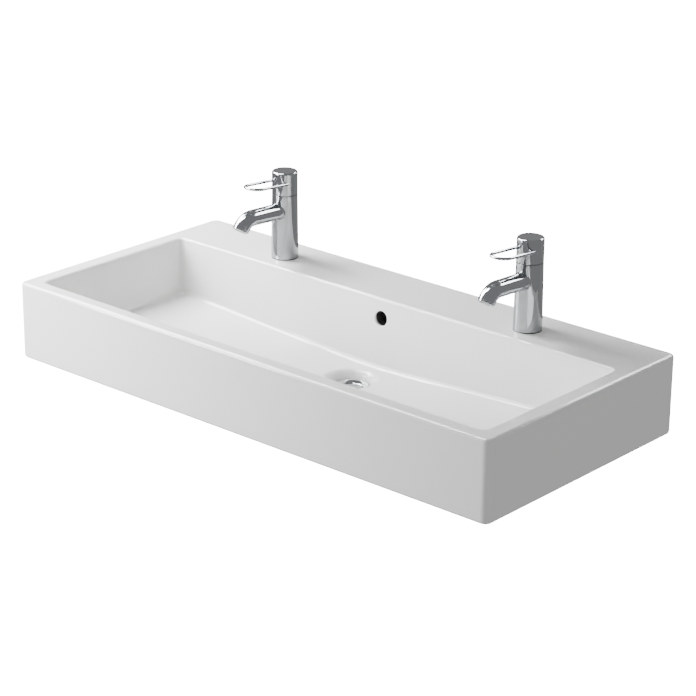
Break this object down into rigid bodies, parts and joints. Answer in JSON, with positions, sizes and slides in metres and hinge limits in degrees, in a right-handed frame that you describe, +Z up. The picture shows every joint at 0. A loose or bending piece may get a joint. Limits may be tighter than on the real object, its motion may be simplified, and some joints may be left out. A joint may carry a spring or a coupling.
{
  "type": "double washbasin",
  "caption": "Wide rectangular wall-hung ceramic washbasin with one long bowl, an overflow, single-lever mixers with loop handles and a push-open waste.",
  "frame": {"origin": "midway between the two wall-fixing holes, on the wall plane", "axes": "+X along the basin to the right seen from the front, +Y into the wall, +Z up"},
  "size_m": [1, 0.47, 0.37],
  "materials": {
    "glaze": "gloss white glaze",
    "chrome": "polished chrome on brass",
    "brass": "turned",
    "steel": "bright",
    "rubber": "matt",
    "grey_plastic": "moulded",
    "white_plastic": "moulded",
    "disc_ceramic": "lapped"
  },
  "bodies": {
    "fixed": {"basin": "glaze", "left_body": "chrome", "left_base_seal": "rubber", "left_stud": "steel", "left_clamp_gasket": "rubber", "left_clamp_plate": "steel", "left_clamp_nut": "brass", "left_aerator_housing": "chrome", "left_aerator_insert": "grey_plastic", "left_port_seals": "rubber", "left_cartridge_base": "grey_plastic", "left_fixed_disc": "disc_ceramic", "left_cartridge_housing": "white_plastic", "left_retaining_nut": "brass", "right_body": "chrome", "right_base_seal": "rubber", "right_stud": "steel", "right_clamp_gasket": "rubber", "right_clamp_plate": "steel", "right_clamp_nut": "brass", "right_aerator_housing": "chrome", "right_aerator_insert": "grey_plastic", "right_port_seals": "rubber", "right_cartridge_base": "grey_plastic", "right_fixed_disc": "disc_ceramic", "right_cartridge_housing": "white_plastic", "right_retaining_nut": "brass", "waste_body": "chrome", "waste_upper_seal": "rubber", "waste_lower_gasket": "rubber", "waste_washer": "white_plastic", "waste_backnut": "brass", "click_sleeve": "brass", "click_spring": "steel"},
    "left_turn": {"left_carrier": "white_plastic", "left_pivot_pin": "steel"},
    "left_lever": {"left_stem": "steel", "left_cap": "chrome", "left_loop_handle": "chrome", "left_grub_screw": "steel", "left_grub_plug": "grey_plastic"},
    "left_disc": {"left_moving_disc": "disc_ceramic", "left_disc_carrier": "grey_plastic"},
    "right_turn": {"right_carrier": "white_plastic", "right_pivot_pin": "steel"},
    "right_lever": {"right_stem": "steel", "right_cap": "chrome", "right_loop_handle": "chrome", "right_grub_screw": "steel", "right_grub_plug": "grey_plastic"},
    "right_disc": {"right_moving_disc": "disc_ceramic", "right_disc_carrier": "grey_plastic"},
    "plug": {"plug_cap": "chrome", "plug_seal": "rubber", "plug_stem": "brass"}
  },
  "joints": [
    {"name": "left_swivel", "type": "hinge", "parent": "fixed", "child": "left_turn", "pos_m": [-0.263, -0.072, 0.192], "axis": [0, 0, 1], "range_deg": [-45, 45]},
    {"name": "left_lift", "type": "hinge", "parent": "left_turn", "child": "left_lever", "pos_m": [-0.263, -0.072, 0.192], "axis": [-1, 0, 0], "range_deg": [0, 20]},
    {"name": "left_disc_slide", "type": "slide", "parent": "left_turn", "child": "left_disc", "axis": [0, -1, 0], "range_m": [0, 0.00233]},
    {"name": "right_swivel", "type": "hinge", "parent": "fixed", "child": "right_turn", "pos_m": [0.263, -0.072, 0.192], "axis": [0, 0, 1], "range_deg": [-45, 45]},
    {"name": "right_lift", "type": "hinge", "parent": "right_turn", "child": "right_lever", "pos_m": [0.263, -0.072, 0.192], "axis": [-1, 0, 0], "range_deg": [0, 20]},
    {"name": "right_disc_slide", "type": "slide", "parent": "right_turn", "child": "right_disc", "axis": [0, -1, 0], "range_m": [0, 0.00233]},
    {"name": "plug_slide", "type": "slide", "parent": "fixed", "child": "plug", "axis": [0, 0, 1], "range_m": [0, 0.008], "deforming": ["click_spring"]}
  ],
  "couplings": [
    {"joint": "left_disc_slide", "follows": "left_lift", "m_per_rad": 0.0066627},
    {"joint": "right_disc_slide", "follows": "right_lift", "m_per_rad": 0.0066627}
  ]
}
